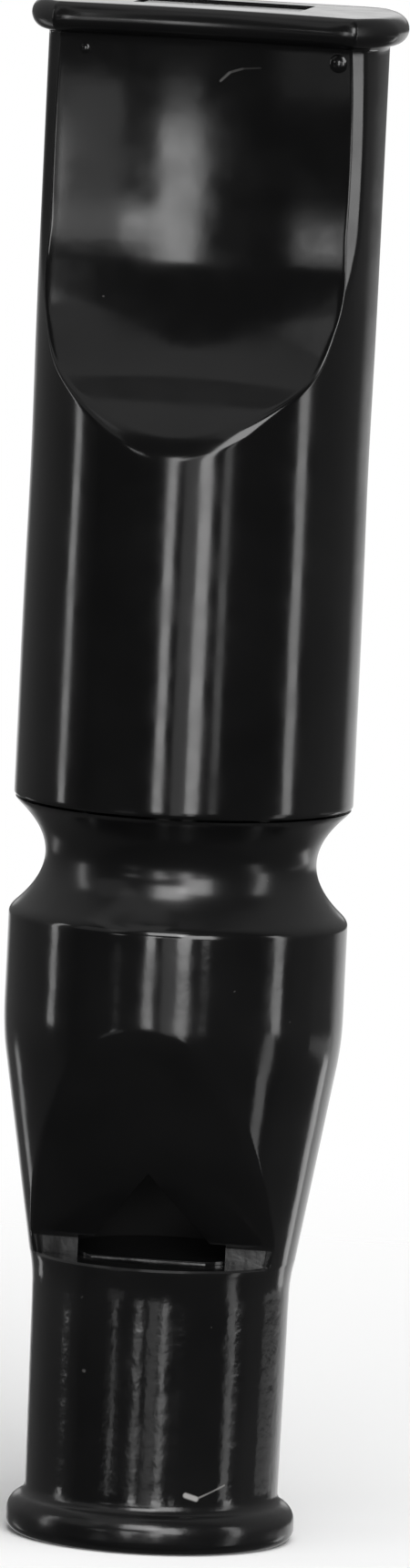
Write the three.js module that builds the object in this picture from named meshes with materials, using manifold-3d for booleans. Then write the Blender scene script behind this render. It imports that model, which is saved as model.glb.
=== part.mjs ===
// A two-tone dog whistle in moulded plastic, in millimetres, +Z up.
// The bottom end is a round mouthpiece that blows one steady high tone.
// The top end is a flattened mouthpiece that blows a trill, made by a loose cork pea in the barrel.
// The front, with the steady tone's window and the scoop under the lips, faces -Y.
// The origin is on the axis, in the plane of the bottom mouthpiece's end.
import * as THREE from "three";
import { mergeVertices } from "three/addons/utils/BufferGeometryUtils.js";
import Module from "manifold-3d";

const wasm = await Module();
wasm.setup();

// Lengths along the axis, stacked from the bottom end upwards
const toneTubeLength = 15.6;
const coneLength = 12.0;
const bandLength = 6.7;
const grooveWidth = 6.1;
const barrelLength = 43.6;

// Steady-tone body: round tube, cone, band and lanyard groove
const toneTubeRadius = 7.0;
const toneTubeWall = 1.8;
const toneRimStandOut = 0.95;
const toneRimHeight = 2.2;
const coneFootStep = 0.15;
const coneFootFillet = 2.5;
const bodyRadius = 9.25;
const grooveDepth = 1.85;
const edgeRound = 0.3;
const mouthEdgeRound = 0.7;
const toneChamberLength = 13.2;
const dividingWall = 1.8;

// Window of the steady-tone end: a ramp that runs down to a short upright land
const toneLandOffset = 3.2;
const toneLandHeight = 1.1;
const toneRampAngle = 27.2;

// Block that leaves the steady-tone windway open along the front of the bore
const toneWindwayHeight = 1.2;
const toneWindwayEntry = 1.5;
const toneBlockRecess = 0.8;
const blockChamfer = 0.28;

// Barrel of the trill end, which draws in a little towards the top
const barrelDraft = 0.2;
const barrelWall = 1.7;
const spigotLength = 4.0;
const spigotWall = 1.9;

// Flattened mouthpiece of the trill end
const mouthRimStandOut = 1.1;
const mouthRimHeight = 1.65;
const frontFlatOffset = 2.9;
const frontFlatLength = 12.4;
const frontFlatDish = 90;
const scoopArcRadius = 10;
const scoopAngle = 47;
const scoopTipRound = 2;
const scoopWall = 1.5;
const windwayRoof = 1.4;

// Windway and window of the trill end, which open to the back
const peaWindwayWidth = 9.2;
const peaWindwayOffset = 3.3;
const peaWindwayHeight = 1.2;
const peaWindwayEntry = 1.5;
const peaWindwayLength = 18;
const peaWindowHeight = 4;
const peaLipOffset = 2.7;
const peaLipThickness = 0.3;
const peaRampAngle = 28;
const peaRampInnerAngle = 24;

// Pea and the plug that closes its chamber
const peaRadius = 4.0;
const peaForward = 1.5;
const plugHeadThickness = 1.4;
const plugSkirtLength = 3.0;
const plugSkirtWall = 1.2;

// Gaps left between the pieces
const fitClearance = 0.1;
const seatGap = 0.1;
const looseGap = 0.3;

// How finely round forms are cut into facets
const roundSegments = 72;
const arcSteps = 3;
const grooveSteps = 6;
const dishSteps = 16;
const peaSegments = 24;

// How far a cutting shape runs past what it cuts
const overshoot = 3;

// Heights worked out from the lengths above
const bandLowZ = toneTubeLength + coneLength;
const grooveLowZ = bandLowZ + bandLength;
const grooveHighZ = grooveLowZ + grooveWidth;
const topZ = grooveHighZ + barrelLength;
const spigotTopZ = grooveHighZ + spigotLength;
const toneChamberTopZ = toneTubeLength + toneChamberLength;
const chamberFloorZ = spigotTopZ + seatGap + plugHeadThickness;
const windwayExitZ = topZ - peaWindwayLength;
const lipZ = windwayExitZ - peaWindowHeight;
const flatEndZ = topZ - frontFlatLength;

// Radii and offsets worked out from the sizes above
const toneBoreRadius = toneTubeRadius - toneTubeWall;
const toneRimRadius = toneTubeRadius + toneRimStandOut;
const barrelTopRadius = bodyRadius - barrelDraft;
const barrelBoreRadius = bodyRadius - barrelWall;
const spigotRadius = barrelBoreRadius - fitClearance;
const pocketRadius = spigotRadius - spigotWall;
const backFlatOffset = peaWindwayOffset + windwayRoof;
const pocketFrontY = scoopWall - frontFlatOffset;
const mouthRimRadius = barrelTopRadius + mouthRimStandOut;
const widest = Math.max(mouthRimRadius, bodyRadius, toneRimRadius) + overshoot;

const slope = (degrees) => Math.tan(THREE.MathUtils.degToRad(degrees));
const radians = THREE.MathUtils.degToRad;

// A closed solid from a geometry's triangles, with shared corners merged and empty triangles left out
function solid(geometry) {
  const bare = new THREE.BufferGeometry().setAttribute("position", geometry.getAttribute("position"));
  if (geometry.index) bare.setIndex(geometry.index);
  const merged = mergeVertices(bare);
  const corners = merged.index.array;
  const triVerts = [];
  for (let i = 0; i < corners.length; i += 3) {
    const [a, b, c] = [corners[i], corners[i + 1], corners[i + 2]];
    if (a !== b && b !== c && c !== a) triVerts.push(a, b, c);
  }
  const vertProperties = merged.getAttribute("position").array;
  const mesh = new wasm.Mesh({ numProp: 3, vertProperties, triVerts: new Uint32Array(triVerts) });
  return new wasm.Manifold(mesh);
}

// A named mesh from a finished solid
function piece(name, made, material) {
  const mesh = made.getMesh();
  const geometry = new THREE.BufferGeometry();
  geometry.setAttribute("position", new THREE.BufferAttribute(mesh.vertProperties, 3));
  geometry.setIndex(new THREE.BufferAttribute(mesh.triVerts, 1));
  geometry.computeVertexNormals();
  const shown = new THREE.Mesh(geometry, material);
  shown.name = name;
  return shown;
}

// A solid turned about the Z axis from a path of (radius, height), drawn up the outside
function turned(path, steps = arcSteps) {
  return solid(new THREE.LatheGeometry(path.getPoints(steps), roundSegments).rotateX(Math.PI / 2));
}

// A plain round bar between two heights
function bar(radius, lowZ, highZ) {
  const path = new THREE.Path();
  path.moveTo(0, lowZ);
  path.lineTo(radius, lowZ);
  path.lineTo(radius, highZ);
  path.lineTo(0, highZ);
  return turned(path);
}

// A solid with one side outline in (y, z), run across the whistle for a half width each way.
// A dish radius bows it towards the front as it nears the sides.
function across(outline, halfWidth, dishRadius = Infinity) {
  const steps = Number.isFinite(dishRadius) ? dishSteps : 1;
  const options = { depth: 2 * halfWidth, steps, bevelEnabled: false, curveSegments: arcSteps * 2 };
  const geometry = new THREE.ExtrudeGeometry(outline, options).translate(0, 0, -halfWidth);
  const place = new THREE.Matrix4().makeBasis(
    new THREE.Vector3(0, 1, 0),
    new THREE.Vector3(0, 0, 1),
    new THREE.Vector3(1, 0, 0),
  );
  geometry.applyMatrix4(place);
  const corners = geometry.getAttribute("position");
  for (let i = 0; i < corners.count; i += 1) {
    const x = corners.getX(i);
    corners.setY(i, corners.getY(i) - (x * x) / (2 * dishRadius));
  }
  return solid(geometry);
}

// An outline through straight corners
function outlineOf(...corners) {
  return new THREE.Shape(corners.map(([y, z]) => new THREE.Vector2(y, z)));
}

// Outside of the steady-tone body, from the mouth end up to the top of its spigot
function toneBodyOutside() {
  const path = new THREE.Path();
  const beadRadius = toneRimHeight / 2;
  path.moveTo(0, 0);
  path.lineTo(toneRimRadius - mouthEdgeRound, 0);
  path.absarc(toneRimRadius - mouthEdgeRound, mouthEdgeRound, mouthEdgeRound, -Math.PI / 2, 0, false);
  path.absarc(toneRimRadius - beadRadius, toneRimHeight - beadRadius, beadRadius, 0, Math.PI / 2, false);
  path.lineTo(toneTubeRadius, toneRimHeight);
  path.lineTo(toneTubeRadius, toneTubeLength - coneFootFillet / 2);
  const coneFootRadius = toneTubeRadius + coneFootStep;
  path.quadraticCurveTo(toneTubeRadius, toneTubeLength - coneFootFillet / 4, coneFootRadius, toneTubeLength);
  path.lineTo(bodyRadius, bandLowZ);
  path.lineTo(bodyRadius, grooveLowZ - edgeRound);
  path.absarc(bodyRadius - edgeRound, grooveLowZ - edgeRound, edgeRound, 0, Math.PI / 2, false);
  addGroove(path);
  path.lineTo(spigotRadius, grooveHighZ);
  path.lineTo(spigotRadius, spigotTopZ);
  path.lineTo(0, spigotTopZ);
  return turned(path);
}

// The hollow of the lanyard groove: one arc of the stated width and depth, between two flat lips
function addGroove(path) {
  const halfChord = grooveWidth / 2;
  const sagitta = grooveDepth - edgeRound;
  const arcRadius = (halfChord * halfChord + sagitta * sagitta) / (2 * sagitta);
  const halfAngle = Math.asin(halfChord / arcRadius);
  const centreR = bodyRadius - edgeRound - sagitta + arcRadius;
  const centreZ = (grooveLowZ + grooveHighZ) / 2;
  for (let i = 1; i <= 2 * grooveSteps; i += 1) {
    const angle = halfAngle * (i / grooveSteps - 1);
    path.lineTo(centreR - arcRadius * Math.cos(angle), centreZ + arcRadius * Math.sin(angle));
  }
}

// Cut for the steady-tone window: level ledge, upright land and the ramp out to the band
function toneWindowCut() {
  const landTopZ = toneTubeLength + toneLandHeight;
  const rampTopZ = landTopZ + (widest - toneLandOffset) / slope(toneRampAngle);
  const outline = outlineOf(
    [-toneLandOffset, toneTubeLength],
    [-toneLandOffset, landTopZ],
    [-widest, rampTopZ],
    [-widest, toneTubeLength],
  );
  return across(outline, widest);
}

function toneBody(material) {
  const pocketFloorZ = toneChamberTopZ + dividingWall;
  const made = toneBodyOutside()
    .subtract(bar(toneBoreRadius, -overshoot, toneChamberTopZ))
    .subtract(bar(pocketRadius, pocketFloorZ, spigotTopZ + overshoot))
    .subtract(toneWindowCut());
  return piece("tone_body", made, material);
}

// Round plug with a flat along its front: the flat and the bore leave the windway between them
function toneWindwayBlock(material) {
  const radius = toneBoreRadius - fitClearance;
  const exitOffset = toneBoreRadius - toneWindwayHeight;
  const entryOffset = toneBoreRadius - toneWindwayEntry;
  const flat = outlineOf(
    [-entryOffset, toneBlockRecess - overshoot],
    [-entryOffset, toneBlockRecess],
    [-exitOffset, toneTubeLength - blockChamfer],
    [-exitOffset + blockChamfer, toneTubeLength],
    [-exitOffset + blockChamfer, toneTubeLength + overshoot],
    [-widest, toneTubeLength + overshoot],
    [-widest, toneBlockRecess - overshoot],
  );
  const made = bar(radius, toneBlockRecess, toneTubeLength).subtract(across(flat, widest));
  return piece("tone_windway_block", made, material);
}

// Cap pressed into the top of the spigot: the floor of the pea's chamber
function chamberPlug(material) {
  const headRadius = spigotRadius - fitClearance;
  const skirtRadius = pocketRadius - fitClearance;
  const headLowZ = spigotTopZ + seatGap;
  const skirtLowZ = headLowZ - plugSkirtLength;
  const made = bar(headRadius, headLowZ, chamberFloorZ)
    .add(bar(skirtRadius, skirtLowZ, chamberFloorZ))
    .subtract(bar(skirtRadius - plugSkirtWall, skirtLowZ - overshoot, headLowZ));
  return piece("chamber_plug", made, material);
}

// Outside of the trill barrel before its mouthpiece is flattened
function barrelOutside() {
  const lowZ = grooveHighZ + seatGap;
  const path = new THREE.Path();
  path.moveTo(0, lowZ);
  path.lineTo(bodyRadius - edgeRound, lowZ);
  path.absarc(bodyRadius - edgeRound, lowZ + edgeRound, edgeRound, -Math.PI / 2, 0, false);
  path.lineTo(barrelTopRadius, topZ - mouthRimHeight / 2);
  path.lineTo(0, topZ - mouthRimHeight / 2);
  return turned(path);
}

// Side outline of the scoop's cut: down the flat, round the arc, out along the ramp and over its rounded tip
function scoopCut() {
  const angle = radians(scoopAngle);
  const highZ = topZ + overshoot;
  const centreY = -frontFlatOffset - scoopArcRadius;
  const rampTopY = centreY + scoopArcRadius * Math.cos(angle);
  const rampTopZ = flatEndZ - scoopArcRadius * Math.sin(angle);
  const tipY = scoopTipRound - bodyRadius;
  const rampFall = (rampTopY - tipY + scoopTipRound * Math.cos(angle)) / slope(scoopAngle);
  const tipZ = rampTopZ - rampFall - scoopTipRound * Math.sin(angle);
  const outline = new THREE.Shape();
  outline.moveTo(-frontFlatOffset, highZ);
  outline.lineTo(-frontFlatOffset, flatEndZ);
  outline.absarc(centreY, flatEndZ, scoopArcRadius, 0, -angle, true);
  outline.absarc(tipY, tipZ, scoopTipRound, Math.PI - angle, Math.PI, false);
  outline.lineTo(-2 * widest, tipZ);
  outline.lineTo(-2 * widest, highZ);
  return across(outline, widest, frontFlatDish);
}

// Side outline of the plastic in front of the chamber: the scoop's arc and ramp, moved in by the wall
function scoopInside() {
  const angle = radians(scoopAngle);
  const highZ = windwayExitZ + overshoot;
  const centreY = -frontFlatOffset - scoopArcRadius;
  const arcRadius = scoopArcRadius + scoopWall;
  const start = Math.asin(THREE.MathUtils.clamp((flatEndZ - highZ) / arcRadius, 0, Math.sin(angle)));
  const rampTopY = centreY + arcRadius * Math.cos(angle);
  const rampTopZ = flatEndZ - arcRadius * Math.sin(angle);
  const outline = new THREE.Shape();
  outline.moveTo(centreY + arcRadius * Math.cos(start), highZ);
  outline.lineTo(centreY + arcRadius * Math.cos(start), flatEndZ - arcRadius * Math.sin(start));
  outline.absarc(centreY, flatEndZ, arcRadius, -start, -angle, true);
  outline.lineTo(rampTopY - widest, rampTopZ - widest / slope(scoopAngle));
  outline.lineTo(rampTopY - widest, highZ);
  return across(outline, widest);
}

// Cut for the back of the mouthpiece: the flat, the ledge where the windway ends, the land and the lip's ramp
function backCut() {
  const footZ = lipZ - (widest - peaLipOffset) / slope(peaRampAngle);
  const outline = outlineOf(
    [backFlatOffset, topZ + overshoot],
    [backFlatOffset, windwayExitZ],
    [peaLipOffset, windwayExitZ],
    [peaLipOffset, lipZ],
    [widest, footZ],
    [widest, topZ + overshoot],
  );
  return across(outline, widest);
}

// Bead round the end of the flattened mouthpiece
function mouthRim() {
  const beadRadius = mouthRimHeight / 2;
  const middleZ = topZ - beadRadius;
  const round = new THREE.Path();
  round.moveTo(0, topZ - mouthRimHeight);
  round.lineTo(mouthRimRadius - beadRadius, topZ - mouthRimHeight);
  round.absarc(mouthRimRadius - beadRadius, middleZ, beadRadius, -Math.PI / 2, Math.PI / 2, false);
  round.lineTo(0, topZ);
  const backY = backFlatOffset + mouthRimStandOut - beadRadius;
  const frontY = -frontFlatOffset - mouthRimStandOut + beadRadius;
  const side = new THREE.Shape();
  side.absarc(backY, middleZ, beadRadius, -Math.PI / 2, Math.PI / 2, false);
  side.absarc(frontY, middleZ, beadRadius, Math.PI / 2, (3 * Math.PI) / 2, false);
  return turned(round).intersect(across(side, widest));
}

// The pea's chamber: the bore, closed in by the scoop's wall at the front and by the lip at the back
function peaChamber() {
  const lipInnerY = peaLipOffset - peaLipThickness;
  const wideningZ = lipZ - (widest - lipInnerY) / slope(peaRampInnerAngle);
  const behindLip = outlineOf(
    [lipInnerY, topZ],
    [lipInnerY, lipZ],
    [widest, wideningZ],
    [widest, topZ],
  );
  return bar(barrelBoreRadius, grooveHighZ - overshoot, windwayExitZ)
    .subtract(across(behindLip, widest))
    .subtract(scoopInside());
}

// Straight pocket from the mouth face down to the chamber, for the block and the windway behind it
function mouthPocket() {
  const outline = outlineOf(
    [pocketFrontY, lipZ],
    [peaWindwayOffset, lipZ],
    [peaWindwayOffset, topZ + overshoot],
    [pocketFrontY, topZ + overshoot],
  );
  return across(outline, peaWindwayWidth / 2);
}

function peaBarrel(material) {
  const made = barrelOutside()
    .subtract(scoopCut())
    .subtract(backCut())
    .add(mouthRim())
    .subtract(peaChamber())
    .subtract(mouthPocket());
  return piece("pea_barrel", made, material);
}

// Flat block in the mouth pocket: its back face is the floor of the trill windway
function peaWindwayBlock(material) {
  const frontY = pocketFrontY + fitClearance;
  const entryY = peaWindwayOffset - peaWindwayEntry;
  const exitY = peaWindwayOffset - peaWindwayHeight;
  const highZ = topZ - seatGap;
  const outline = outlineOf(
    [frontY, windwayExitZ],
    [exitY - blockChamfer, windwayExitZ],
    [exitY, windwayExitZ + blockChamfer],
    [entryY, highZ - blockChamfer],
    [entryY - blockChamfer, highZ],
    [frontY, highZ],
  );
  return piece("pea_windway_block", across(outline, peaWindwayWidth / 2 - fitClearance), material);
}

// Loose cork pea, lying on the floor of its chamber
function pea(material) {
  const ball = new THREE.SphereGeometry(peaRadius, peaSegments, peaSegments / 2).rotateX(Math.PI / 2);
  const mesh = piece("pea", solid(ball), material);
  mesh.position.set(0, -peaForward, chamberFloorZ + looseGap + peaRadius);
  return mesh;
}

const blackPlastic = new THREE.MeshStandardMaterial({ color: 0x161616, roughness: 0.16, metalness: 0 });
const cork = new THREE.MeshStandardMaterial({ color: 0xa77a4c, roughness: 0.9, metalness: 0 });

const whistle = new THREE.Group();
whistle.add(toneBody(blackPlastic));
whistle.add(toneWindwayBlock(blackPlastic));
whistle.add(chamberPlug(blackPlastic));
whistle.add(peaBarrel(blackPlastic));
whistle.add(peaWindwayBlock(blackPlastic));
whistle.add(pea(cork));

export default whistle;
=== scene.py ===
import math

import bmesh
import bpy
from mathutils import Matrix, Vector, noise


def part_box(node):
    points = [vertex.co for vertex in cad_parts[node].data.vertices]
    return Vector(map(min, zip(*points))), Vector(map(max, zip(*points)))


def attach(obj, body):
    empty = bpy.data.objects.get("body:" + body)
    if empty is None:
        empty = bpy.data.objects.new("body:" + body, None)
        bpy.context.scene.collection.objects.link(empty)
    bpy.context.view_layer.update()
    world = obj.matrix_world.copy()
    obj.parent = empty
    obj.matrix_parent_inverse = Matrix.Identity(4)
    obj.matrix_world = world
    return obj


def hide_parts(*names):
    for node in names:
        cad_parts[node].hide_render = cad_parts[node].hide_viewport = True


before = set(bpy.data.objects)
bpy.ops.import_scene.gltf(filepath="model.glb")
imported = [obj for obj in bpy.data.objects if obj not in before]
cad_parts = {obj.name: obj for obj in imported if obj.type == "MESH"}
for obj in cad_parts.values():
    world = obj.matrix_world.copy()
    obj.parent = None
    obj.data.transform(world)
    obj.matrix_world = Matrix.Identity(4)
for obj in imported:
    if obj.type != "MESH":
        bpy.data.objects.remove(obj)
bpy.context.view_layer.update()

scene = bpy.context.scene
mm = 0.001  # pieces are modelled in millimetres and shrunk to metres when they are finished
hair = 0.004  # height between two rings that make a level step
onAxis = 1e-6  # a point nearer to the axis than this lies on it


def nodeHeights(name):
    low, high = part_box(name)
    return low.z / mm, high.z / mm


def arcPoints(centre, radius, startDeg, endDeg, count):
    turn = [math.radians(startDeg + (endDeg - startDeg) * i / count) for i in range(count + 1)]
    return [(centre[0] + radius * math.cos(a), centre[1] + radius * math.sin(a)) for a in turn]


def curvePoints(start, pull, end, count):
    points = []
    for i in range(count + 1):
        t = i / count
        weights = ((1 - t) ** 2, 2 * t * (1 - t), t ** 2)
        points.append(tuple(sum(w * p[k] for w, p in zip(weights, (start, pull, end))) for k in (0, 1)))
    return points


def evenly(low, high, step):
    count = max(1, round((high - low) / step))
    return [low + (high - low) * i / count for i in range(count + 1)]


def softMin(a, b, blend):
    near = max(blend - abs(a - b), 0) / blend
    return min(a, b) - near * near * blend / 4


def reachOf(offset, along, aside, dish=math.inf):
    # how far out the way (along, aside) meets a face at that offset, dished to that radius
    if along <= 0 or offset == math.inf:
        return math.inf
    under = along * along - 2 * offset * aside * aside / dish
    if under <= 0:
        return math.inf
    return 2 * offset / (along + math.sqrt(under))


def spinRings(rings, steps):
    # each ring is radius, height, how far the outline grows there, and its share of the outline
    bm = bmesh.new()
    grow = bm.verts.layers.float.new("grow")
    share = bm.verts.layers.float.new("share")
    chain = []
    for radius, height, growth, part in rings:
        vert = bm.verts.new((radius, 0, height))
        vert[grow] = growth
        vert[share] = part
        chain.append(vert)
    edges = [bm.edges.new(pair) for pair in zip(chain, chain[1:])]
    bmesh.ops.spin(bm, geom=chain + edges, axis=(0, 0, 1), cent=(0, 0, 0), angle=2 * math.pi, steps=steps,
                   use_merge=True)
    poles = [v for v in bm.verts if v.co.xy.length < onAxis]
    bmesh.ops.remove_doubles(bm, verts=poles, dist=hair / 4)
    bmesh.ops.recalc_face_normals(bm, faces=bm.faces)
    return bm


def plainRings(points):
    return [(r, z, 0, 1 if r else 0) for r, z in points]


def pieceFrom(bm, name, material=None, smooth=True):
    bm.transform(Matrix.Scale(mm, 4))
    mesh = bpy.data.meshes.new(name)
    bm.to_mesh(mesh)
    bm.free()
    for face in mesh.polygons:
        face.use_smooth = smooth
    piece = bpy.data.objects.new(name, mesh)
    scene.collection.objects.link(piece)
    if material:
        mesh.materials.append(material)
    return piece


def joinAndCut(piece, added, taken, sharpDeg=32):
    # adds shapes to the piece, takes others out of it, and marks the crisp edges of the result
    for shape in added + taken:
        step = piece.modifiers.new(shape.name, "BOOLEAN")
        step.operation = "UNION" if shape in added else "DIFFERENCE"
        step.solver = "MANIFOLD"
        step.object = shape
    done = bpy.data.meshes.new_from_object(piece.evaluated_get(bpy.context.evaluated_depsgraph_get()))
    piece.modifiers.clear()
    done.name = piece.name
    old = piece.data
    piece.data = done
    bpy.data.meshes.remove(old)
    for shape in added + taken:
        bpy.data.objects.remove(shape)
    done.set_sharp_from_angle(angle=math.radians(sharpDeg))
    return piece


def mount(piece, body, slot, *nodes):
    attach(piece, body)
    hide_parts(*nodes)
    print(" ", piece.name, len(piece.data.polygons), "faces")
    return piece


# Camera, from the photograph: turned to the whistle's right, a little above it, rolled so that it leans
camSpec = dict(azimuth=10.6, elevation=6.6, roll=2.72, distance=1.0, viewHeight=0.0855, sensor=36,
               aimHeight=0.0414, aimAside=0.00112, clip=(0.05, 20))


def wayTo(azimuthDeg, elevationDeg):
    a, e = math.radians(azimuthDeg), math.radians(elevationDeg)
    return Vector((math.sin(a) * math.cos(e), -math.cos(a) * math.cos(e), math.sin(e)))


def makeCamera(spec):
    back = wayTo(spec["azimuth"], spec["elevation"])
    lean = Matrix.Rotation(math.radians(spec["roll"]), 3, "Z").to_quaternion()
    turn = (-back).to_track_quat("-Z", "Y") @ lean
    data = bpy.data.cameras.new("camera")
    data.sensor_width = spec["sensor"]
    data.lens = spec["sensor"] * spec["distance"] / spec["viewHeight"]
    data.clip_start, data.clip_end = spec["clip"]
    camera = bpy.data.objects.new("camera", data)
    camera.rotation_mode = "QUATERNION"
    camera.rotation_quaternion = turn
    aim = Vector((0, 0, spec["aimHeight"])) + turn @ Vector((spec["aimAside"], 0, 0))
    camera.location = aim + back * spec["distance"]
    scene.collection.objects.link(camera)
    scene.camera = camera


makeCamera(camSpec)
print("camera set")


# Soft boxes round the whistle: azimuth from the camera, elevation, size in degrees, brightness
lampSpec = dict(distance=1.6, boxes=[
    dict(name="windowLeft", azimuth=-17.7, elevation=0.9, wide=6.1, high=18.4, bright=5.8),
    dict(name="windowLeftLow", azimuth=-17.7, elevation=-10.6, wide=5.6, high=5.2, bright=1.1),
    dict(name="windowBar", azimuth=-4.5, elevation=-5, wide=9, high=16, bright=0.8),
    dict(name="windowRight", azimuth=5.2, elevation=-1.5, wide=8.6, high=13, bright=6),
    dict(name="windowRightLow", azimuth=5.4, elevation=-10.8, wide=4.6, high=3.6, bright=3),
    dict(name="windowEdge", azimuth=19.6, elevation=-3.3, wide=5, high=7.2, bright=1.8),
    dict(name="sillLeft", azimuth=-40, elevation=4.5, wide=8, high=3.4, bright=3.5),
    dict(name="sillFoot", azimuth=-6, elevation=4.5, wide=15, high=3.4, bright=1.7),
    dict(name="sillStep", azimuth=-12.6, elevation=4.3, wide=6, high=3.6, bright=4.4),
    dict(name="lowLeft", azimuth=-40, elevation=-15, wide=14, high=7, bright=0.3),
    dict(name="lowStreak", azimuth=-40, elevation=-10.4, wide=3.4, high=3, bright=1.5, onBody=True),
    dict(name="lowRight", azimuth=124, elevation=-11.5, wide=30, high=3.6, bright=0.4),
    dict(name="backRight", azimuth=136, elevation=-19, wide=9, high=13, bright=1.7),
    dict(name="backLeft", azimuth=-138, elevation=-19, wide=6, high=13, bright=1.1),
    dict(name="hazeLeft", azimuth=-60, elevation=30, wide=30, high=30, bright=0.3),
    dict(name="groovePane", azimuth=-8, elevation=37, wide=24, high=26, bright=6.5, onBody=True),
    dict(name="frontLamp", azimuth=14.5, elevation=22, wide=23, high=34, bright=6),
    dict(name="leftStrip", azimuth=-92, elevation=11, wide=6, high=39, bright=3.6),
    dict(name="rightStrip", azimuth=74, elevation=11, wide=8, high=39, bright=4),
    dict(name="rightStripLow", azimuth=69.5, elevation=-18, wide=8, high=19, bright=1.6),
])


def makeSoftBox(box, distance):
    way = wayTo(camSpec["azimuth"] + box["azimuth"], box["elevation"])
    data = bpy.data.lights.new(box["name"], "AREA")
    data.shape = "RECTANGLE"
    data.size = 2 * distance * math.tan(math.radians(box["wide"] / 2))
    data.size_y = 2 * distance * math.tan(math.radians(box["high"] / 2))
    data.energy = box["bright"] * math.pi * data.size * data.size_y
    lamp = bpy.data.objects.new(box["name"], data)
    lamp.location = Vector((0, 0, camSpec["aimHeight"])) + way * distance
    lamp.rotation_mode = "QUATERNION"
    lamp.rotation_quaternion = way.to_track_quat("Z", "Y")
    scene.collection.objects.link(lamp)
    return lamp


bodyOnly = bpy.data.collections.new("bodyOnly")  # lamps marked onBody light the steady-tone body alone
for boxSpec in lampSpec["boxes"]:
    softBox = makeSoftBox(boxSpec, lampSpec["distance"])
    if "onBody" in boxSpec:
        softBox.light_linking.receiver_collection = bodyOnly

topSpec = dict(name="topLight", azimuth=20, elevation=62, wide=50, high=50, bright=3.2)
topLight = makeSoftBox(topSpec, lampSpec["distance"])
topLight.visible_glossy = False  # lights the floor and the cork, and is kept out of the gloss
print("lamps:", len(lampSpec["boxes"]) + 1)


def newNodes(tree):
    tree.nodes.clear()

    def add(kind, **settings):
        node = tree.nodes.new(kind)
        for key, value in settings.items():
            setattr(node, key, value)
        return node

    return add, tree.links.new


def noiseOn(add, link, place, sizeMm, detail):
    cloud = add("ShaderNodeTexNoise")
    cloud.inputs["Scale"].default_value = 1 / (sizeMm * mm)
    cloud.inputs["Detail"].default_value = detail
    link(place.outputs["Object"], cloud.inputs["Vector"])
    return cloud.outputs["Fac"]


def between(add, link, value, low, high, toLow=0.0, toHigh=1.0):
    remap = add("ShaderNodeMapRange", interpolation_type="SMOOTHSTEP")
    for name, number in (("From Min", low), ("From Max", high), ("To Min", toLow), ("To Max", toHigh)):
        remap.inputs[name].default_value = number
    link(value, remap.inputs["Value"])
    return remap.outputs[0]


def combine(add, link, operation, one, other=0.0):
    # one step of maths on two values, each a socket or a plain number
    node = add("ShaderNodeMath", operation=operation)
    for slot, value in zip(node.inputs, (one, other)):
        if isinstance(value, bpy.types.NodeSocket):
            link(value, slot)
        else:
            slot.default_value = value
    return node.outputs[0]


roomSpec = dict(level=0.05, sideLevel=0.21, sideFade=(-0.5, 0.6, 0.4, 1.4), sideTurn=(-0.1, 0.5),
                lobeLevel=0.48, lobeSpread=1.15, lobeEdge=(0.86, 0.91), lobeFrom=(0.35, 0.5),
                lobeWidth=(0.32, 0.4), crownFrom=(0.9, 0.94), crownWidth=(0.12, 0.18),
                rampAzimuth=-83, rampElevation=79.4, rampDark=(0.9966, 0.9984),
                backdrop=0.9, backdropAzimuth=168, backdropEdge=(0.82, 0.95), backdropTop=(-0.112, -0.076),
                backdropLow=(-0.4, -0.17), backdropDim=0.4, overFrom=(0.03, 0.055), overEdge=(0.955, 0.985))


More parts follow.
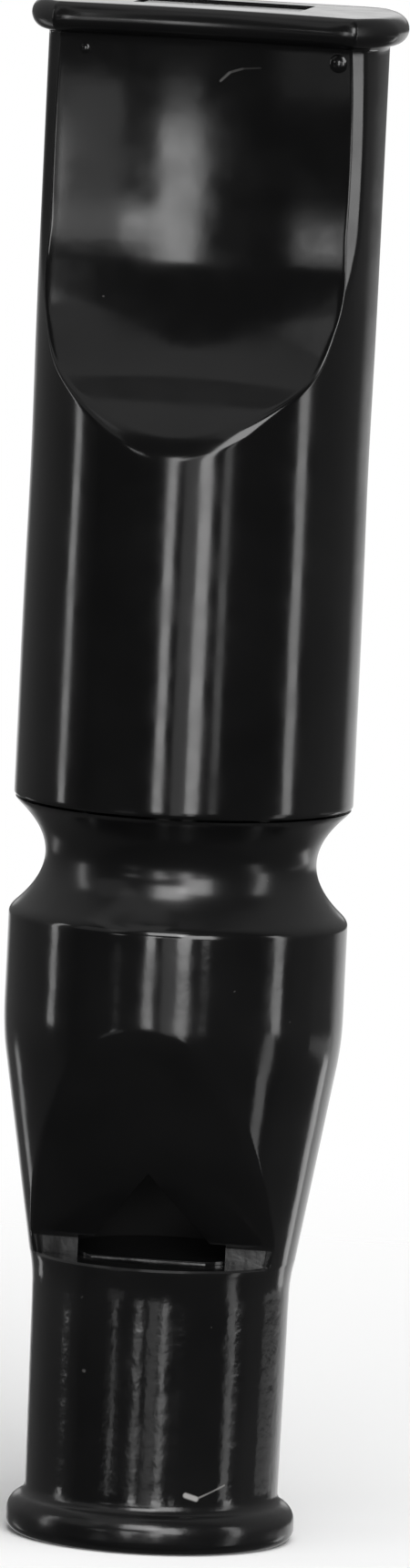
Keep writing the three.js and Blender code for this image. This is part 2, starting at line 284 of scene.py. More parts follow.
def makeWorld(spec):
    # a dark room, two lighter lobes on its ceiling, and a white backdrop behind the whistle
    world = bpy.data.worlds.new("studio")
    scene.world = world
    world.use_nodes = True
    add, link = newNodes(world.node_tree)
    place = add("ShaderNodeTexCoord")
    split = add("ShaderNodeSeparateXYZ")
    link(place.outputs["Generated"], split.inputs[0])
    height = split.outputs["Z"]

    def towards(way):
        dot = add("ShaderNodeVectorMath", operation="DOT_PRODUCT")
        dot.inputs[1].default_value = way
        link(place.outputs["Generated"], dot.inputs[0])
        return dot.outputs["Value"]

    def span(value, *limits):
        return between(add, link, value, *limits)

    def times(one, other):
        return combine(add, link, "MULTIPLY", one, other)

    def larger(one, other):
        return combine(add, link, "MAXIMUM", one, other)

    # walls: lighter behind the whistle than ahead of it
    toCamera = towards(wayTo(camSpec["azimuth"], camSpec["elevation"]))
    behind = times(span(toCamera, *spec["sideTurn"], spec["sideLevel"], 0), span(height, *spec["sideFade"]))
    walls = larger(behind, span(toCamera, *spec["sideTurn"], 0, spec["level"]))

    # ceiling: a lobe on either side of what the scoop's ramp mirrors
    overRamp = wayTo(spec["rampAzimuth"], spec["rampElevation"])
    aside = combine(add, link, "ABSOLUTE", combine(add, link, "SUBTRACT", split.outputs["X"], overRamp.x))
    spread = combine(add, link, "ADD", times(aside, spec["lobeSpread"]), height)
    outside = times(span(spread, *spec["lobeEdge"]), span(height, *spec["lobeFrom"]))
    offRamp = span(towards(overRamp), *spec["rampDark"], 1, 0)
    narrow = span(aside, *spec["lobeWidth"], 1, 0)
    crown = larger(span(height, *spec["crownFrom"], 1, 0), span(aside, *spec["crownWidth"], 1, 0))
    ceiling = times(times(outside, offRamp), times(narrow, crown))
    room = add("ShaderNodeBackground")
    link(larger(walls, span(ceiling, 0, 1, 0, spec["lobeLevel"])), room.inputs["Color"])

    # backdrop: white to the camera; the gloss shows it low behind the whistle and over the top face
    toBackdrop = towards(wayTo(camSpec["azimuth"] + spec["backdropAzimuth"], -camSpec["elevation"]))
    fade = span(height, *spec["backdropTop"], 1, 0)
    dim = span(height, *spec["backdropLow"], spec["backdropDim"], 1)
    low = times(span(toBackdrop, *spec["backdropEdge"], 0, spec["backdrop"]), times(fade, dim))
    straightOn = towards(wayTo(camSpec["azimuth"] + 180, camSpec["elevation"]))
    over = times(span(height, *spec["overFrom"]), span(straightOn, *spec["overEdge"]))
    path = add("ShaderNodeLightPath")
    inGloss = times(path.outputs["Is Glossy Ray"], larger(low, over))
    seen = larger(path.outputs["Is Camera Ray"], path.outputs["Is Transmission Ray"])
    white = add("ShaderNodeBackground")
    white.inputs["Color"].default_value = (1, 1, 1, 1)
    both = add("ShaderNodeMixShader")
    link(larger(seen, inGloss), both.inputs[0])
    link(room.outputs[0], both.inputs[1])
    link(white.outputs[0], both.inputs[2])
    out = add("ShaderNodeOutputWorld")
    link(both.outputs[0], out.inputs["Surface"])


makeWorld(roomSpec)
scene.view_settings.view_transform = "Standard"

floorSpec = dict(radius=0.16, segments=96, colour=(0.93, 0.93, 0.93, 1), fadeFrom=0.25)


def makeFloor(spec):
    bm = bmesh.new()
    bmesh.ops.create_circle(bm, cap_ends=True, segments=spec["segments"], radius=spec["radius"])
    mesh = bpy.data.meshes.new("floor")
    bm.to_mesh(mesh)
    bm.free()
    floor = bpy.data.objects.new("floor", mesh)
    scene.collection.objects.link(floor)
    floor.visible_glossy = False  # the gloss mirrors a dark room below the whistle
    paint = bpy.data.materials.new("paleFloor")
    paint.use_nodes = True
    add, link = newNodes(paint.node_tree)
    place = add("ShaderNodeTexCoord")
    scale = add("ShaderNodeMapping", vector_type="TEXTURE")
    scale.inputs["Scale"].default_value = (spec["radius"],) * 3
    link(place.outputs["Object"], scale.inputs["Vector"])
    fade = add("ShaderNodeTexGradient", gradient_type="SPHERICAL")
    link(scale.outputs[0], fade.inputs[0])
    cover = add("ShaderNodeMapRange", interpolation_type="SMOOTHSTEP")
    cover.inputs["From Max"].default_value = 1 - spec["fadeFrom"]
    link(fade.outputs["Fac"], cover.inputs["Value"])
    chalk = add("ShaderNodeBsdfDiffuse")
    chalk.inputs["Color"].default_value = spec["colour"]
    clear = add("ShaderNodeBsdfTransparent")
    both = add("ShaderNodeMixShader")
    link(cover.outputs[0], both.inputs[0])
    link(clear.outputs[0], both.inputs[1])
    link(chalk.outputs[0], both.inputs[2])
    out = add("ShaderNodeOutputMaterial")
    link(both.outputs[0], out.inputs["Surface"])
    mesh.materials.append(paint)


makeFloor(floorSpec)
print("world and floor set")


# sizes of the steady-tone body, in mm, that the plastic's finish follows too
bodySizes = dict(boreRadius=5.2, boreTop=28.8, grooveLow=34.3, grooveHigh=40.4)

# one black plastic for all mouldings, in mm: a noise is its size and detail, a zone is two heights
plasticSpec = dict(dark=(0.0026, 0.0026, 0.0027, 1), light=(0.0042, 0.0042, 0.0043, 1), ior=1.5,
                   cloudNoise=(7, 2.0), cloudSpan=(0.3, 0.7), worn=(0.22, 0.215, 0.21, 1), scuffCore=0.4,
                   speckNoise=(0.35, 1.0), speckSpan=(0.82, 0.87), speckPale=0.2,
                   roughNoise=(2.2, 5.0), roughSpan=(0.3, 0.75), roughLow=0.10, roughHigh=0.16,
                   roughWorn=0.45, roughGroove=0.22, grooveFade=0.6, grooveIn=0.1, grooveOut=0.2,
                   roughBead=0.21, lowBead=(2.5, 2.8), highBead=(-1.7, -1.5), topFace=(-0.15, -0.02),
                   roughInside=0.75, boreSkin=(0.03, 0.06), boreFade=0.2, boreFront=(-3, -2),
                   waveNoise=(2.8, 1.0), waveDepth=0.02, waveShareAbove=0.55, calm=(38, 44),
                   grainNoise=(0.7, 2.0), grainDepth=0.0012, grainDepthBelow=0.004, grainDepthTube=0.014,
                   tubeEnd=(14.6, 15.2))
# handling marks: start and end (azimuth, height, distance from the axis), half the width, paleness
scuffs = [
    dict(start=(26.5, 3.25, 6.95), end=(31.5, 3.05, 6.95), wide=0.2, pale=1.0),
    dict(start=(31.5, 3.05, 6.95), end=(45.5, 3.75, 6.95), wide=0.08, pale=0.5),
    dict(start=(-50, 10.2, 6.95), end=(-34, 9.95, 6.95), wide=0.06, pale=0.12),
    dict(start=(-24, 9.7, 6.95), end=(-23.5, 9.7, 6.95), wide=0.14, pale=0.16),
    dict(start=(-26.7, 13.7, 6.95), end=(-26.2, 13.75, 6.95), wide=0.12, pale=0.12),
    dict(start=(-20.4, 14.0, 6.95), end=(-20, 14.0, 6.95), wide=0.10, pale=0.12),
    dict(start=(13.4, 80.1, 3.01), end=(22.2, 80.6, 3.18), wide=0.1, pale=0.3),
    dict(start=(22.2, 80.6, 3.18), end=(32.6, 80.85, 3.53), wide=0.09, pale=0.2),
    dict(start=(32.6, 80.85, 3.53), end=(43.7, 80.95, 4.19), wide=0.08, pale=0.08),
]


def makePlastic(spec, sizes):
    paint = bpy.data.materials.new("blackPlastic")
    paint.use_nodes = True
    add, link = newNodes(paint.node_tree)
    place = add("ShaderNodeTexCoord")
    split = add("ShaderNodeSeparateXYZ")
    link(place.outputs["Object"], split.inputs[0])
    body = add("ShaderNodeBsdfPrincipled")
    body.inputs["IOR"].default_value = spec["ior"]

    def vector(operation, one, other=None):
        node = add("ShaderNodeVectorMath", operation=operation)
        for slot, value in zip(node.inputs, (one, other)):
            if isinstance(value, bpy.types.NodeSocket):
                link(value, slot)
            elif value is not None:
                slot.default_value = value
        return node

    def span(value, *limits):
        return between(add, link, value, *limits)

    def zone(low, high, *levels):
        return span(split.outputs["Z"], low * mm, high * mm, *levels)

    def times(one, other):
        return combine(add, link, "MULTIPLY", one, other)

    def larger(one, other):
        return combine(add, link, "MAXIMUM", one, other)

    def cloud(size, detail):
        return noiseOn(add, link, place, size, detail)

    def markPoint(azimuth, height, out):
        return wayTo(azimuth, 0) * out * mm + Vector((0, 0, height * mm))

    def scuffMask(mark):
        # nearness to the line from the mark's start to its end
        start, end = markPoint(*mark["start"]), markPoint(*mark["end"])
        run = end - start
        away = vector("SUBTRACT", place.outputs["Object"], start).outputs[0]
        along = vector("DOT_PRODUCT", away, run / run.length_squared).outputs["Value"]
        held = add("ShaderNodeClamp")
        link(along, held.inputs["Value"])
        nearest = vector("SCALE", run)
        link(held.outputs[0], nearest.inputs["Scale"])
        gap = vector("DISTANCE", away, nearest.outputs[0]).outputs["Value"]
        edge = mark["wide"] * mm
        return span(gap, edge * spec["scuffCore"], edge, mark["pale"], 0)

    # colour: faintly cloudy black, with pale specks and the handling marks
    tone = add("ShaderNodeMix", data_type="RGBA")
    tone.inputs["A"].default_value = spec["dark"]
    tone.inputs["B"].default_value = spec["light"]
    link(span(cloud(*spec["cloudNoise"]), *spec["cloudSpan"]), tone.inputs["Factor"])
    worn = span(cloud(*spec["speckNoise"]), *spec["speckSpan"], 0, spec["speckPale"])
    for mark in scuffs:
        worn = larger(worn, scuffMask(mark))
    marked = add("ShaderNodeMix", data_type="RGBA")
    marked.inputs["B"].default_value = spec["worn"]
    link(worn, marked.inputs["Factor"])
    link(tone.outputs["Result"], marked.inputs["A"])
    link(marked.outputs["Result"], body.inputs["Base Color"])

    # gloss: polished outside, duller in the groove, on the beads, where scuffed and on the bore's back wall
    def dull(value, target, share):
        mix = add("ShaderNodeMix")
        link(share, mix.inputs["Factor"])
        link(value, mix.inputs["A"])
        mix.inputs["B"].default_value = target
        return mix.outputs["Result"]

    low = sizes["grooveLow"] + spec["grooveIn"]
    high = sizes["grooveHigh"] - spec["grooveOut"]
    inGroove = times(zone(low, low + spec["grooveFade"]), zone(high - spec["grooveFade"], high, 1, 0))
    top = nodeHeights("pea_barrel")[1]
    onRim = times(zone(*(top + z for z in spec["highBead"])),
                  zone(*(top + z for z in spec["topFace"]), 1, 0))
    flat = vector("MULTIPLY", place.outputs["Object"], (1, 1, 0)).outputs[0]
    outward = vector("LENGTH", flat).outputs["Value"]
    fromBore = combine(add, link, "SUBTRACT", outward, sizes["boreRadius"] * mm)
    offBore = combine(add, link, "ABSOLUTE", fromBore)
    onBore = times(span(offBore, *(d * mm for d in spec["boreSkin"]), 1, 0),
                   zone(sizes["boreTop"], sizes["boreTop"] + spec["boreFade"], 1, 0))
    onBackWall = times(onBore, span(split.outputs["Y"], *(y * mm for y in spec["boreFront"])))
    rough = span(cloud(*spec["roughNoise"]), *spec["roughSpan"], spec["roughLow"], spec["roughHigh"])
    for target, share in (("roughGroove", inGroove), ("roughBead", zone(*spec["lowBead"], 1, 0)),
                          ("roughBead", onRim), ("roughWorn", worn), ("roughInside", onBackWall)):
        rough = dull(rough, spec[target], share)
    link(rough, body.inputs["Roughness"])

    # surface: long waves and a fine grain, deepest on the tube and calmer on the barrel
    waves = add("ShaderNodeBump")
    waves.inputs["Distance"].default_value = spec["waveDepth"] * mm
    link(zone(*spec["calm"], 1, spec["waveShareAbove"]), waves.inputs["Strength"])
    link(cloud(*spec["waveNoise"]), waves.inputs["Height"])
    grain = add("ShaderNodeBump")
    grain.inputs["Strength"].default_value = 1.0
    depth = larger(zone(*spec["calm"], spec["grainDepthBelow"] * mm, spec["grainDepth"] * mm),
                   zone(*spec["tubeEnd"], spec["grainDepthTube"] * mm, 0))
    link(depth, grain.inputs["Distance"])
    link(cloud(*spec["grainNoise"]), grain.inputs["Height"])
    link(waves.outputs[0], grain.inputs["Normal"])
    link(grain.outputs[0], body.inputs["Normal"])
    out = add("ShaderNodeOutputMaterial")
    link(body.outputs[0], out.inputs["Surface"])
    return paint


corkSpec = dict(pale=(0.52, 0.32, 0.16, 1), deep=(0.24, 0.12, 0.05, 1), rough=0.9,
                grainNoise=(0.7, 4.0), grainSpan=(0.35, 0.65), pitNoise=(0.35, 3.0),
                pitStrength=0.8, pitDepth=0.12)


def makeCork(spec):
    paint = bpy.data.materials.new("groundCork")
    paint.use_nodes = True
    add, link = newNodes(paint.node_tree)
    place = add("ShaderNodeTexCoord")
    body = add("ShaderNodeBsdfPrincipled")
    body.inputs["Roughness"].default_value = spec["rough"]
    grain = between(add, link, noiseOn(add, link, place, *spec["grainNoise"]), *spec["grainSpan"])
    tone = add("ShaderNodeMix", data_type="RGBA")
    tone.inputs["A"].default_value = spec["deep"]
    tone.inputs["B"].default_value = spec["pale"]
    link(grain, tone.inputs["Factor"])
    link(tone.outputs["Result"], body.inputs["Base Color"])
    pits = add("ShaderNodeBump")
    pits.inputs["Strength"].default_value = spec["pitStrength"]
    pits.inputs["Distance"].default_value = spec["pitDepth"] * mm
    link(noiseOn(add, link, place, *spec["pitNoise"]), pits.inputs["Height"])
    link(pits.outputs[0], body.inputs["Normal"])
    out = add("ShaderNodeOutputMaterial")
    link(body.outputs[0], out.inputs["Surface"])
    return paint


plastic = makePlastic(plasticSpec, bodySizes)
cork = makeCork(corkSpec)
print("materials made")


# Steady-tone body: bead, tube, cone, band, lanyard groove and spigot in one turned moulding
toneSpec = dict(steps=360, tubeLow=6.93, tubeHigh=7.03, tubeRow=0.6, floorShare=0.8,
                mouthRound=0.7, mouthSteps=8, rimStandOut=0.95, rimHeight=2.2, rimTurn=62, rimSteps=9,
                rimFillet=0.45, rimPull=(0.02, 0.04), filletSteps=7,
                ledge=15.6, ledgeRound=0.22, ledgeReach=0.8, footFillet=2, footRadius=7.28, footSteps=16,
                coneTop=27.6, coneSoft=0.22, coneSpare=2.2, bodyRadius=9.25, rowStep=0.15,
                grooveDepth=1.85, lipRound=0.34, grooveRow=0.12, spigotRadius=7.45,
                landOffset=3.2, landHeight=1.1, rampDeg=27.2, edgeSoft=0.3,
                boreFlare=0.35, boreSteps=192, lipSpread=1.6, middle=1, spare=1,
                pocketRadius=5.55, pocketFloor=30.6, pocketSteps=96, **bodySizes)


def toneRings(s):
    spigotTop = nodeHeights("tone_body")[1]
    rimRadius = s["tubeLow"] + s["rimStandOut"]
    bead = s["rimHeight"] / 2
    slope = (s["bodyRadius"] - s["footRadius"]) / (s["coneTop"] - s["ledge"])
    points = [(0, 0), (s["boreRadius"] * s["floorShare"], 0)]
    edge = s["mouthRound"]
    points += arcPoints((rimRadius - edge, edge), edge, -90, 0, s["mouthSteps"])
    beadTop = arcPoints((rimRadius - bead, s["rimHeight"] - bead), bead, 0, s["rimTurn"], s["rimSteps"])
    points += beadTop
    pull = (s["tubeLow"] + s["rimPull"][0], s["rimHeight"] + s["rimPull"][1])
    tubeFoot = s["rimHeight"] + s["rimFillet"]
    points += curvePoints(beadTop[-1], pull, (s["tubeLow"], tubeFoot), s["filletSteps"])[1:]
    footLow = s["ledge"] - s["footFillet"]
    tube = evenly(tubeFoot, footLow, s["tubeRow"])
    taper = (s["tubeHigh"] - s["tubeLow"]) / len(tube)
    points += [(s["tubeLow"] + taper * i, tube[i]) for i in range(1, len(tube) - 1)]
    points += curvePoints((s["tubeHigh"], footLow), (s["tubeHigh"], s["ledge"] - s["footFillet"] / 2),
                          (s["footRadius"], s["ledge"] - hair), s["footSteps"])
    bandLow, bandHigh = s["coneTop"] + s["coneSpare"], s["grooveLow"] - s["lipRound"]
    for z in evenly(s["ledge"] + hair, bandLow, s["rowStep"]):
        cone = s["footRadius"] + slope * (z - s["ledge"])
        points.append((softMin(cone, s["bodyRadius"], s["coneSoft"]), z))
    points += [(s["bodyRadius"], z) for z in evenly(bandLow, bandHigh, s["tubeRow"])[1:]]
    half = (s["grooveHigh"] - s["grooveLow"]) / 2
    for z in evenly(bandHigh, s["grooveHigh"], s["grooveRow"])[1:]:
        share = (z - s["grooveLow"] - half) / half
        hollow = s["bodyRadius"] - s["grooveDepth"] * (1 - share * share)
        points.append((softMin(s["bodyRadius"], hollow, s["lipRound"]), z))
    points += [(s["spigotRadius"], s["grooveHigh"]), (s["spigotRadius"], spigotTop), (0, spigotTop)]
    return plainRings(points)


def pressToneWindow(bm, s):
    # the front face: an upright land over the ledge, then the ramp out to the band
    landTop = s["ledge"] + s["landHeight"]
    for vert in bm.verts:
        z = vert.co.z
        radius = vert.co.xy.length
        if z < s["ledge"] - s["ledgeRound"] or z > s["grooveLow"] or radius < s["middle"]:
            continue
        offset = s["landOffset"] + max(0, z - landTop) * math.tan(math.radians(s["rampDeg"]))
        way = vert.co.xy / radius
        pressed = softMin(radius, reachOf(offset, -way.y, way.x), s["edgeSoft"])
        if z < s["ledge"]:  # only the ledge's edge is rounded here
            rise = 1 - (s["ledge"] - z) / s["ledgeRound"]
            worn = s["ledgeRound"] * (1 - math.sqrt(1 - rise * rise))
            pressed = radius - worn * min(1, max(0, radius - pressed) / s["ledgeReach"])
        vert.co.x, vert.co.y = way * pressed


def toneBore(s):
    # round up to the land, pointed in front above it, so that the lip is a pointed arch
    flare, bore, spare = s["boreFlare"], s["boreRadius"], s["spare"]
    landTop = s["ledge"] + s["landHeight"]
    points = [(0, -spare), (bore + flare + spare, -spare), (bore, flare), (bore, landTop),
              (bore, landTop + hair), (bore, s["boreTop"]), (0, s["boreTop"])]
    bm = spinRings(plainRings(points), s["boreSteps"])
    for vert in bm.verts:
        radius = vert.co.xy.length
        if vert.co.z > landTop + hair / 2 and radius > s["middle"] and vert.co.y < 0:
            way = vert.co.xy / radius
            vert.co.xy = way * min(radius, bore / (abs(way.x) / s["lipSpread"] - way.y))
    return pieceFrom(bm, "toneBore")


def tonePocket(s):
    low, top = s["pocketFloor"], nodeHeights("tone_body")[1] + s["spare"]
    points = [(0, low), (s["pocketRadius"], low), (s["pocketRadius"], top), (0, top)]
    return pieceFrom(spinRings(plainRings(points), s["pocketSteps"]), "tonePocket")


def makeToneBody(s):
    bm = spinRings(toneRings(s), s["steps"])
    pressToneWindow(bm, s)
    body = pieceFrom(bm, "toneBody", plastic)
    joinAndCut(body, [], [toneBore(s), tonePocket(s)])
    return mount(body, "whistle", "black_plastic", "tone_body")


bodyOnly.objects.link(makeToneBody(toneSpec))


# Trill barrel: round barrel, scooped and flattened mouthpiece, beaded rim, window in the back
barrelSpec = dict(steps=360, bodyRadius=9.25, waist=0.07, waistAt=59, waistHalf=6, lowRound=0.2, lowSteps=6,
                  rimStandOut=1.0, rimHeight=1.65, rimSteps=18, rimFillet=0.28, filletSteps=5,
                  rimSoft=1.1, rimCut=0.3, capShares=(0.9, 0.5, 0),
                  flatOffset=2.68, flatMiddle=8.4, flatRadius=50, flatEndDeg=6, flatReach=4.4, flatRow=0.5,
                  dish=40, dishFrom=67.2, dishTo=63.4, dishBelow=170,
                  scoopRadius=10.3, scoopDeg=47, scoopReach=16.8, scoopRow=0.11,
                  tipRound=15, tipEndDeg=33, tipSoft=0.5, tipFrom=64, tipTo=61.5,
                  edgeSoft=0.24, edgeCut=0.3, edgeLoss=1.3, cutSoft=0.1, edgeDeg=47, edgeFrom=72, edgeTo=67,
                  edgeGather=1.4, backSoft=0.8, backFlat=4.7, backDish=140, backHollow=200, backRow=0.24,
                  backProbe=1,
                  exitDrop=18, windowHigh=4, lipOffset=2.7, rampDeg=28, rampSpare=0.6, lowRow=0.6,
                  wall=1.7, scoopWall=1.5, lipThick=0.3, innerRampDeg=24,
                  chamberSpare=1, chamberRow=0.5, chamberSteps=144,
                  windwayWide=9.2, windwayBack=3.3, pocketFront=-1.4, pocketSpare=2,
                  pips=((-6.7, 0.3), (7.3, 0.52)), pipDrop=2.5, pipFlat=0.35, pipSteps=32)
barrelLow, barrelTop = nodeHeights("pea_barrel")


def barrelRadius(z, s):
    away = (z - s["waistAt"]) / s["waistHalf"]
    return s["bodyRadius"] - s["waist"] * math.exp(-away * away)


def scoopOffset(z, s, top, inset=0.0):
    # distance of the front face from the axis: shallow hollow, tight hollow arc, ramp, rounded tip
    start, turn = math.radians(s["flatEndDeg"]), math.radians(s["scoopDeg"])
    wide, arc = s["flatRadius"] + inset, s["scoopRadius"] + inset
    middle = top - s["flatMiddle"]
    base = s["flatOffset"] - inset
    flatEnd = middle - s["flatRadius"] * math.sin(start)
    if z >= flatEnd:
        rise = min(z, top - s["rimHeight"]) - middle
        return base + wide - math.sqrt(wide * wide - rise * rise)
    base += wide * (1 - math.cos(start))
    drop = flatEnd - z
    arcDrop = arc * (math.sin(turn) - math.sin(start))
    if drop <= arcDrop:
        return base + arc * (math.cos(start) - math.cos(math.asin(drop / arc + math.sin(start))))
    offset = base + arc * (math.cos(start) - math.cos(turn)) + (drop - arcDrop) * math.tan(turn)
    if inset:
        return offset
    tip = s["tipRound"]
    tipOffset = s["bodyRadius"] - tip * math.cos(math.radians(s["tipEndDeg"]))
    rampEnd = tipOffset + tip * math.cos(turn)
    if offset <= rampEnd:
        return offset
    past = tip * math.sin(turn) - (offset - rampEnd) / math.tan(turn)
    return tipOffset + math.sqrt(tip * tip - past * past) if past > 0 else math.inf


def dishRadius(z, s):
    # the front face is hollow across as well, less so on the ramp
    share = min(1, max(0, (s["dishFrom"] - z) / (s["dishFrom"] - s["dishTo"])))
    share *= share * (3 - 2 * share)
    return 1 / ((1 - share) / s["dish"] + share / s["dishBelow"])


def backOffset(z, s, top, inset=0.0):
    # distance of the back face: barely hollow down to the windway's exit, then the land and the lip's ramp
    exitZ = top - s["exitDrop"]
    lipZ = exitZ - s["windowHigh"]
    if z > exitZ and not inset:
        rise = z - (exitZ + top) / 2
        return s["backFlat"] + rise * rise / (2 * s["backHollow"])
    deg = s["innerRampDeg"] if inset else s["rampDeg"]
    return s["lipOffset"] - inset + max(0, lipZ - z) * math.tan(math.radians(deg))


def barrelRings(s):
    low, top = barrelLow, barrelTop
    exitZ = top - s["exitDrop"]
    lipZ = exitZ - s["windowHigh"]
    rampDepth = s["bodyRadius"] + s["rampSpare"] - s["lipOffset"]
    rampFoot = lipZ - rampDepth / math.tan(math.radians(s["rampDeg"]))
    scoopFoot = top - s["flatMiddle"] - s["scoopReach"]
    flatEnd = top - s["flatMiddle"] - s["flatReach"]
    bead = s["rimHeight"] / 2
    heights = evenly(low + 2 * s["lowRound"], rampFoot, s["lowRow"])[:-1]
    heights += evenly(rampFoot, scoopFoot, s["backRow"])[:-1]
    heights += evenly(scoopFoot, exitZ - hair, s["scoopRow"])
    heights += evenly(exitZ + hair, flatEnd, s["scoopRow"])
    heights += evenly(flatEnd, top - s["rimHeight"] - s["flatRow"], s["flatRow"])[1:]
    rings = [(0, low, 0, 0), (s["bodyRadius"] - s["wall"], low, 0, 1)]
    edge = s["lowRound"]
    rings += plainRings(arcPoints((s["bodyRadius"] - edge, low + edge), edge, -90, 0, s["lowSteps"]))
    rings += [(barrelRadius(z, s), z, 0, 1) for z in heights]
    profile = curvePoints((0, top - s["rimHeight"] - s["rimFillet"]), (0, top - s["rimHeight"]),
                          (s["rimStandOut"] - bead, top - s["rimHeight"]), s["filletSteps"])
    profile += arcPoints((s["rimStandOut"] - bead, top - bead), bead, -90, 90, s["rimSteps"])[1:]
    rings += [(barrelRadius(z, s) + g, z, g, 1) for g, z in profile]
    rings += [(barrelRadius(top, s) * part, top, 0, part) for part in s["capShares"]]
    return rings


def barrelOutline(z, out, s):
    # the outline at that height, grown by that much: distance from the axis at an angle from the front
    onRim = out / s["rimStandOut"]
    rounder = s["rimSoft"] * onRim
    tipShare = min(1, max(0, (s["tipFrom"] - z) / (s["tipFrom"] - s["tipTo"])))
    edgeSoft = s["edgeSoft"] + (s["tipSoft"] - s["edgeSoft"]) * tipShare + rounder
    radius = barrelRadius(z, s) + out
    front, behind = scoopOffset(z, s, barrelTop) + out, backOffset(z, s, barrelTop) + out
    dish = dishRadius(z, s)
    backDish = s["backDish"] if z > barrelTop - s["exitDrop"] else math.inf
    edgeTurn = math.radians(s["edgeDeg"])
    edge = math.inf
    if z > s["edgeTo"]:  # the flat's side edges are eased, which runs out where the scoop turns forward
        fade = max(0, (s["edgeFrom"] - z) / (s["edgeFrom"] - s["edgeTo"]))
        cut = s["edgeCut"] * (1 - s["edgeLoss"] * fade) + s["rimCut"] * onRim
        edge = cornerReach(front, radius, dish, edgeTurn) - cut

    def reach(angle):
        along, aside = math.cos(angle), math.sin(angle)
        eased = softMin(radius, reachOf(edge, math.cos(abs(angle) - edgeTurn), 0), s["cutSoft"] + rounder)
        scooped = softMin(eased, reachOf(front, along, aside, dish), edgeSoft)
        return softMin(scooped, reachOf(behind, -along, aside, backDish), s["backSoft"] + rounder)

    return reach


def cornerReach(front, radius, dish, turn, rounds=12):
    # how far the corner of the front face and the round wall lies along a way turned from the front
    aside = radius
    for again in range(rounds):
        along = min(radius, front + aside * aside / (2 * dish))
        aside = math.sqrt(radius * radius - along * along)
    return along * math.cos(turn) + aside * math.sin(turn)


def gatherAngles(reaches, gather, count, fine=4):
    # angles over a quarter turn, closer together where one of the outlines turns
    angles = [math.pi / 2 * i / (count * fine) for i in range(count * fine + 1)]
    weights = [0] * count * fine
    for reach in reaches:
        points = [Vector((math.sin(a), math.cos(a))) * reach(a) for a in angles]
        steps = [b - a for a, b in zip(points, points[1:])]
        turns = [0] + [abs(a.angle_signed(b)) for a, b in zip(steps, steps[1:])]
        weights = [w + step.length + gather * turn for w, step, turn in zip(weights, steps, turns)]
    gathered, passed, k = [], 0, 0
    for i in range(count + 1):
        aim = sum(weights) * i / count
        while k < len(weights) - 1 and passed + weights[k] < aim:
            passed += weights[k]
            k += 1
        gathered.append(angles[k] + (angles[k + 1] - angles[k]) * (aim - passed) / weights[k])
    return gathered


def pressBarrel(bm, s):
    grow = bm.verts.layers.float["grow"]
    share = bm.verts.layers.float["share"]
    quarter = s["steps"] // 4
    exitZ = barrelTop - s["exitDrop"]
    backs = [barrelOutline(z, 0, s) for z in (exitZ + s["backProbe"], exitZ - s["backProbe"])]
    fromBack = [lambda angle, reach=reach: reach(math.pi - angle) for reach in backs]
    backAngles = gatherAngles(fromBack, s["edgeGather"], quarter)
    outlines = {}
    for vert in bm.verts:
        radius = vert.co.xy.length
        if vert[share] == 0 or radius < onAxis:
            continue
        ring = (round(vert.co.z, 4), round(vert[grow], 4))
        if ring not in outlines:
            reach = barrelOutline(vert.co.z, vert[grow], s)
            outlines[ring] = reach, gatherAngles([reach], s["edgeGather"], quarter)
        reach, frontAngles = outlines[ring]
        turn = math.atan2(vert.co.x, -vert.co.y)
        column = round(abs(turn) / (math.pi / 2) * quarter)
        angle = frontAngles[column] if column <= quarter else math.pi - backAngles[2 * quarter - column]
        angle = math.copysign(angle, turn)
        away = reach(angle) * vert[share] if vert.co.z > barrelLow + 2 * s["lowRound"] else radius
        vert.co.xy = Vector((math.sin(angle), -math.cos(angle))) * away


def barrelChamber(s):
    low, top = barrelLow, barrelTop
    exitZ = top - s["exitDrop"]
    bore = s["bodyRadius"] - s["wall"]
    heights = evenly(low - s["chamberSpare"], exitZ, s["chamberRow"])
    rings = [(0, heights[0], 0, 0)] + [(bore, z, 0, 1) for z in heights] + [(0, exitZ, 0, 0)]
    bm = spinRings(rings, s["chamberSteps"])
    for vert in bm.verts:
        radius = vert.co.xy.length
        if radius < onAxis:
            continue
        way = vert.co.xy / radius
        front = reachOf(scoopOffset(vert.co.z, s, top, s["scoopWall"]), -way.y, way.x)
        behind = reachOf(backOffset(vert.co.z, s, top, s["lipThick"]), way.y, way.x)
        vert.co.x, vert.co.y = way * min(radius, front, behind)
    return pieceFrom(bm, "barrelChamber")


def barrelPocket(s):
    low, top = barrelTop - s["exitDrop"] - s["windowHigh"], barrelTop + s["pocketSpare"]
    front, back = s["pocketFront"], s["windwayBack"]
    bm = bmesh.new()
    bmesh.ops.create_cube(bm, size=1)
    bmesh.ops.scale(bm, vec=(s["windwayWide"], back - front, top - low), verts=bm.verts)
    bmesh.ops.translate(bm, vec=(0, (back + front) / 2, (top + low) / 2), verts=bm.verts)
    return pieceFrom(bm, "barrelPocket", smooth=False)


def mouldPips(s):
    # two small round marks that the mould leaves on the flat, under the rim
    bm = bmesh.new()
    for aside, size in s["pips"]:
        made = bmesh.ops.create_uvsphere(bm, u_segments=s["pipSteps"], v_segments=s["pipSteps"] // 2,
                                         radius=size)["verts"]
        bmesh.ops.scale(bm, vec=(1, s["pipFlat"], 1), verts=made)
        offset = scoopOffset(barrelTop - s["pipDrop"], s, barrelTop) + aside * aside / (2 * s["dish"])
        bmesh.ops.translate(bm, vec=(aside, -offset, barrelTop - s["pipDrop"]), verts=made)
    return pieceFrom(bm, "mouldPips")


def makeBarrel(s):
    bm = spinRings(barrelRings(s), s["steps"])
    pressBarrel(bm, s)
    barrel = pieceFrom(bm, "peaBarrel", plastic)
    joinAndCut(barrel, [mouldPips(s)], [barrelChamber(s), barrelPocket(s)])
    return mount(barrel, "whistle", "black_plastic", "pea_barrel")


makeBarrel(barrelSpec)


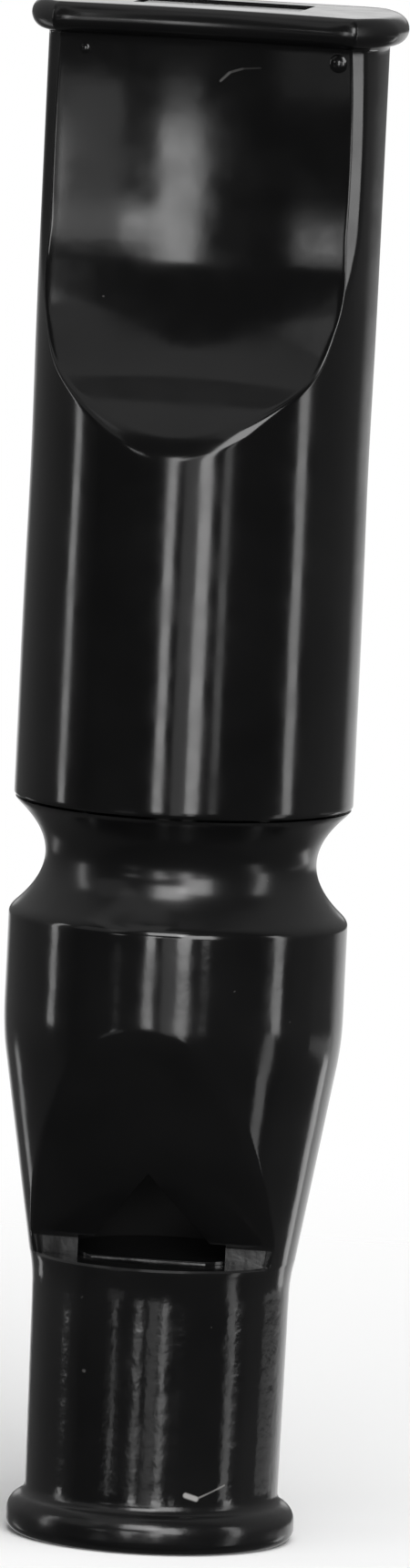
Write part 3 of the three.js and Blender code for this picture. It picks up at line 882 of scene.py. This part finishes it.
# Windway blocks: a round plug with a long flat, and a flat block with a sloping floor
toneBlockSpec = dict(radius=5.1, entryOffset=3.7, exitOffset=4.0, proud=0.18, chamfer=0.1, segments=160,
                     bevelSteps=4, near=1e-4, sharpDeg=30)


def makeToneBlock(s):
    low, high = nodeHeights("tone_windway_block")
    high += s["proud"]
    bm = bmesh.new()
    bmesh.ops.create_cone(bm, cap_ends=True, segments=s["segments"], depth=high - low,
                          radius1=s["radius"], radius2=s["radius"])
    bmesh.ops.translate(bm, vec=(0, 0, (low + high) / 2), verts=bm.verts)
    lean = Vector((0, -(high - low), -(s["exitOffset"] - s["entryOffset"]))).normalized()
    cut = bmesh.ops.bisect_plane(bm, geom=bm.verts[:] + bm.edges[:] + bm.faces[:], dist=s["near"] / 10,
                                 plane_co=(0, -s["entryOffset"], low), plane_no=lean, clear_outer=True)
    rim = [e for e in cut["geom_cut"] if isinstance(e, bmesh.types.BMEdge)]
    bmesh.ops.holes_fill(bm, edges=rim, sides=0)
    front = s["near"] - s["entryOffset"]
    atExit = {v for v in bm.verts if abs(v.co.z - high) < s["near"] and v.co.y < front}
    exitEdge = [e for e in bm.edges if atExit.issuperset(e.verts)]
    bmesh.ops.bevel(bm, geom=exitEdge, offset=s["chamfer"], offset_type="OFFSET", affect="EDGES",
                    segments=s["bevelSteps"], profile=0.5, material=-1)
    bmesh.ops.recalc_face_normals(bm, faces=bm.faces)
    block = pieceFrom(bm, "toneBlock", plastic)
    block.data.set_sharp_from_angle(angle=math.radians(s["sharpDeg"]))
    return mount(block, "whistle", "black_plastic", "tone_windway_block")


makeToneBlock(toneBlockSpec)

peaBlockSpec = dict(exitStep=0.3, edge=0.22, bevelSteps=3, sharpDeg=40)


def makePeaBlock(s):
    low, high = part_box("pea_windway_block")
    bm = bmesh.new()
    bmesh.ops.create_cube(bm, size=1)
    size = (high - low) / mm
    bmesh.ops.scale(bm, vec=size, verts=bm.verts)
    bmesh.ops.translate(bm, vec=(high + low) / 2 / mm, verts=bm.verts)
    for vert in bm.verts:  # the windway narrows towards its exit
        if vert.co.y > (low.y + high.y) / 2 / mm and vert.co.z > (low.z + high.z) / 2 / mm:
            vert.co.y -= s["exitStep"]
    bmesh.ops.bevel(bm, geom=bm.edges[:], offset=s["edge"], offset_type="OFFSET", affect="EDGES",
                    segments=s["bevelSteps"], profile=0.5, material=-1)
    block = pieceFrom(bm, "peaBlock", plastic)
    block.data.set_sharp_from_angle(angle=math.radians(s["sharpDeg"]))
    return mount(block, "whistle", "black_plastic", "pea_windway_block")


makePeaBlock(peaBlockSpec)


# Cork pea: a ground ball, a little uneven and pitted
peaSpec = dict(detail=6, uneven=0.05, swells=2.5, pitted=0.06, pits=16, pitNoise=(0.8, 2.0, 3))


def makePea(s):
    low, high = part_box("pea")
    centre = (low + high) / 2 / mm
    radius = (high.z - low.z) / 2 / mm - s["uneven"] - s["pitted"]
    bm = bmesh.new()
    bmesh.ops.create_icosphere(bm, subdivisions=s["detail"], radius=radius)
    for vert in bm.verts:
        way = vert.co.normalized()
        swell = s["uneven"] * noise.noise(way * s["swells"])
        pit = s["pitted"] * min(0, noise.fractal(way * s["pits"], *s["pitNoise"]))
        vert.co += way * (swell + pit)
    bmesh.ops.translate(bm, vec=centre, verts=bm.verts)
    return mount(pieceFrom(bm, "corkPea", cork), "pea", "cork", "pea")


makePea(peaSpec)

# The chamber plug stays as the frame gives it, in the same plastic
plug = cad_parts["chamber_plug"]
plug.data.materials.clear()
plug.data.materials.append(plastic)
print("pieces made")
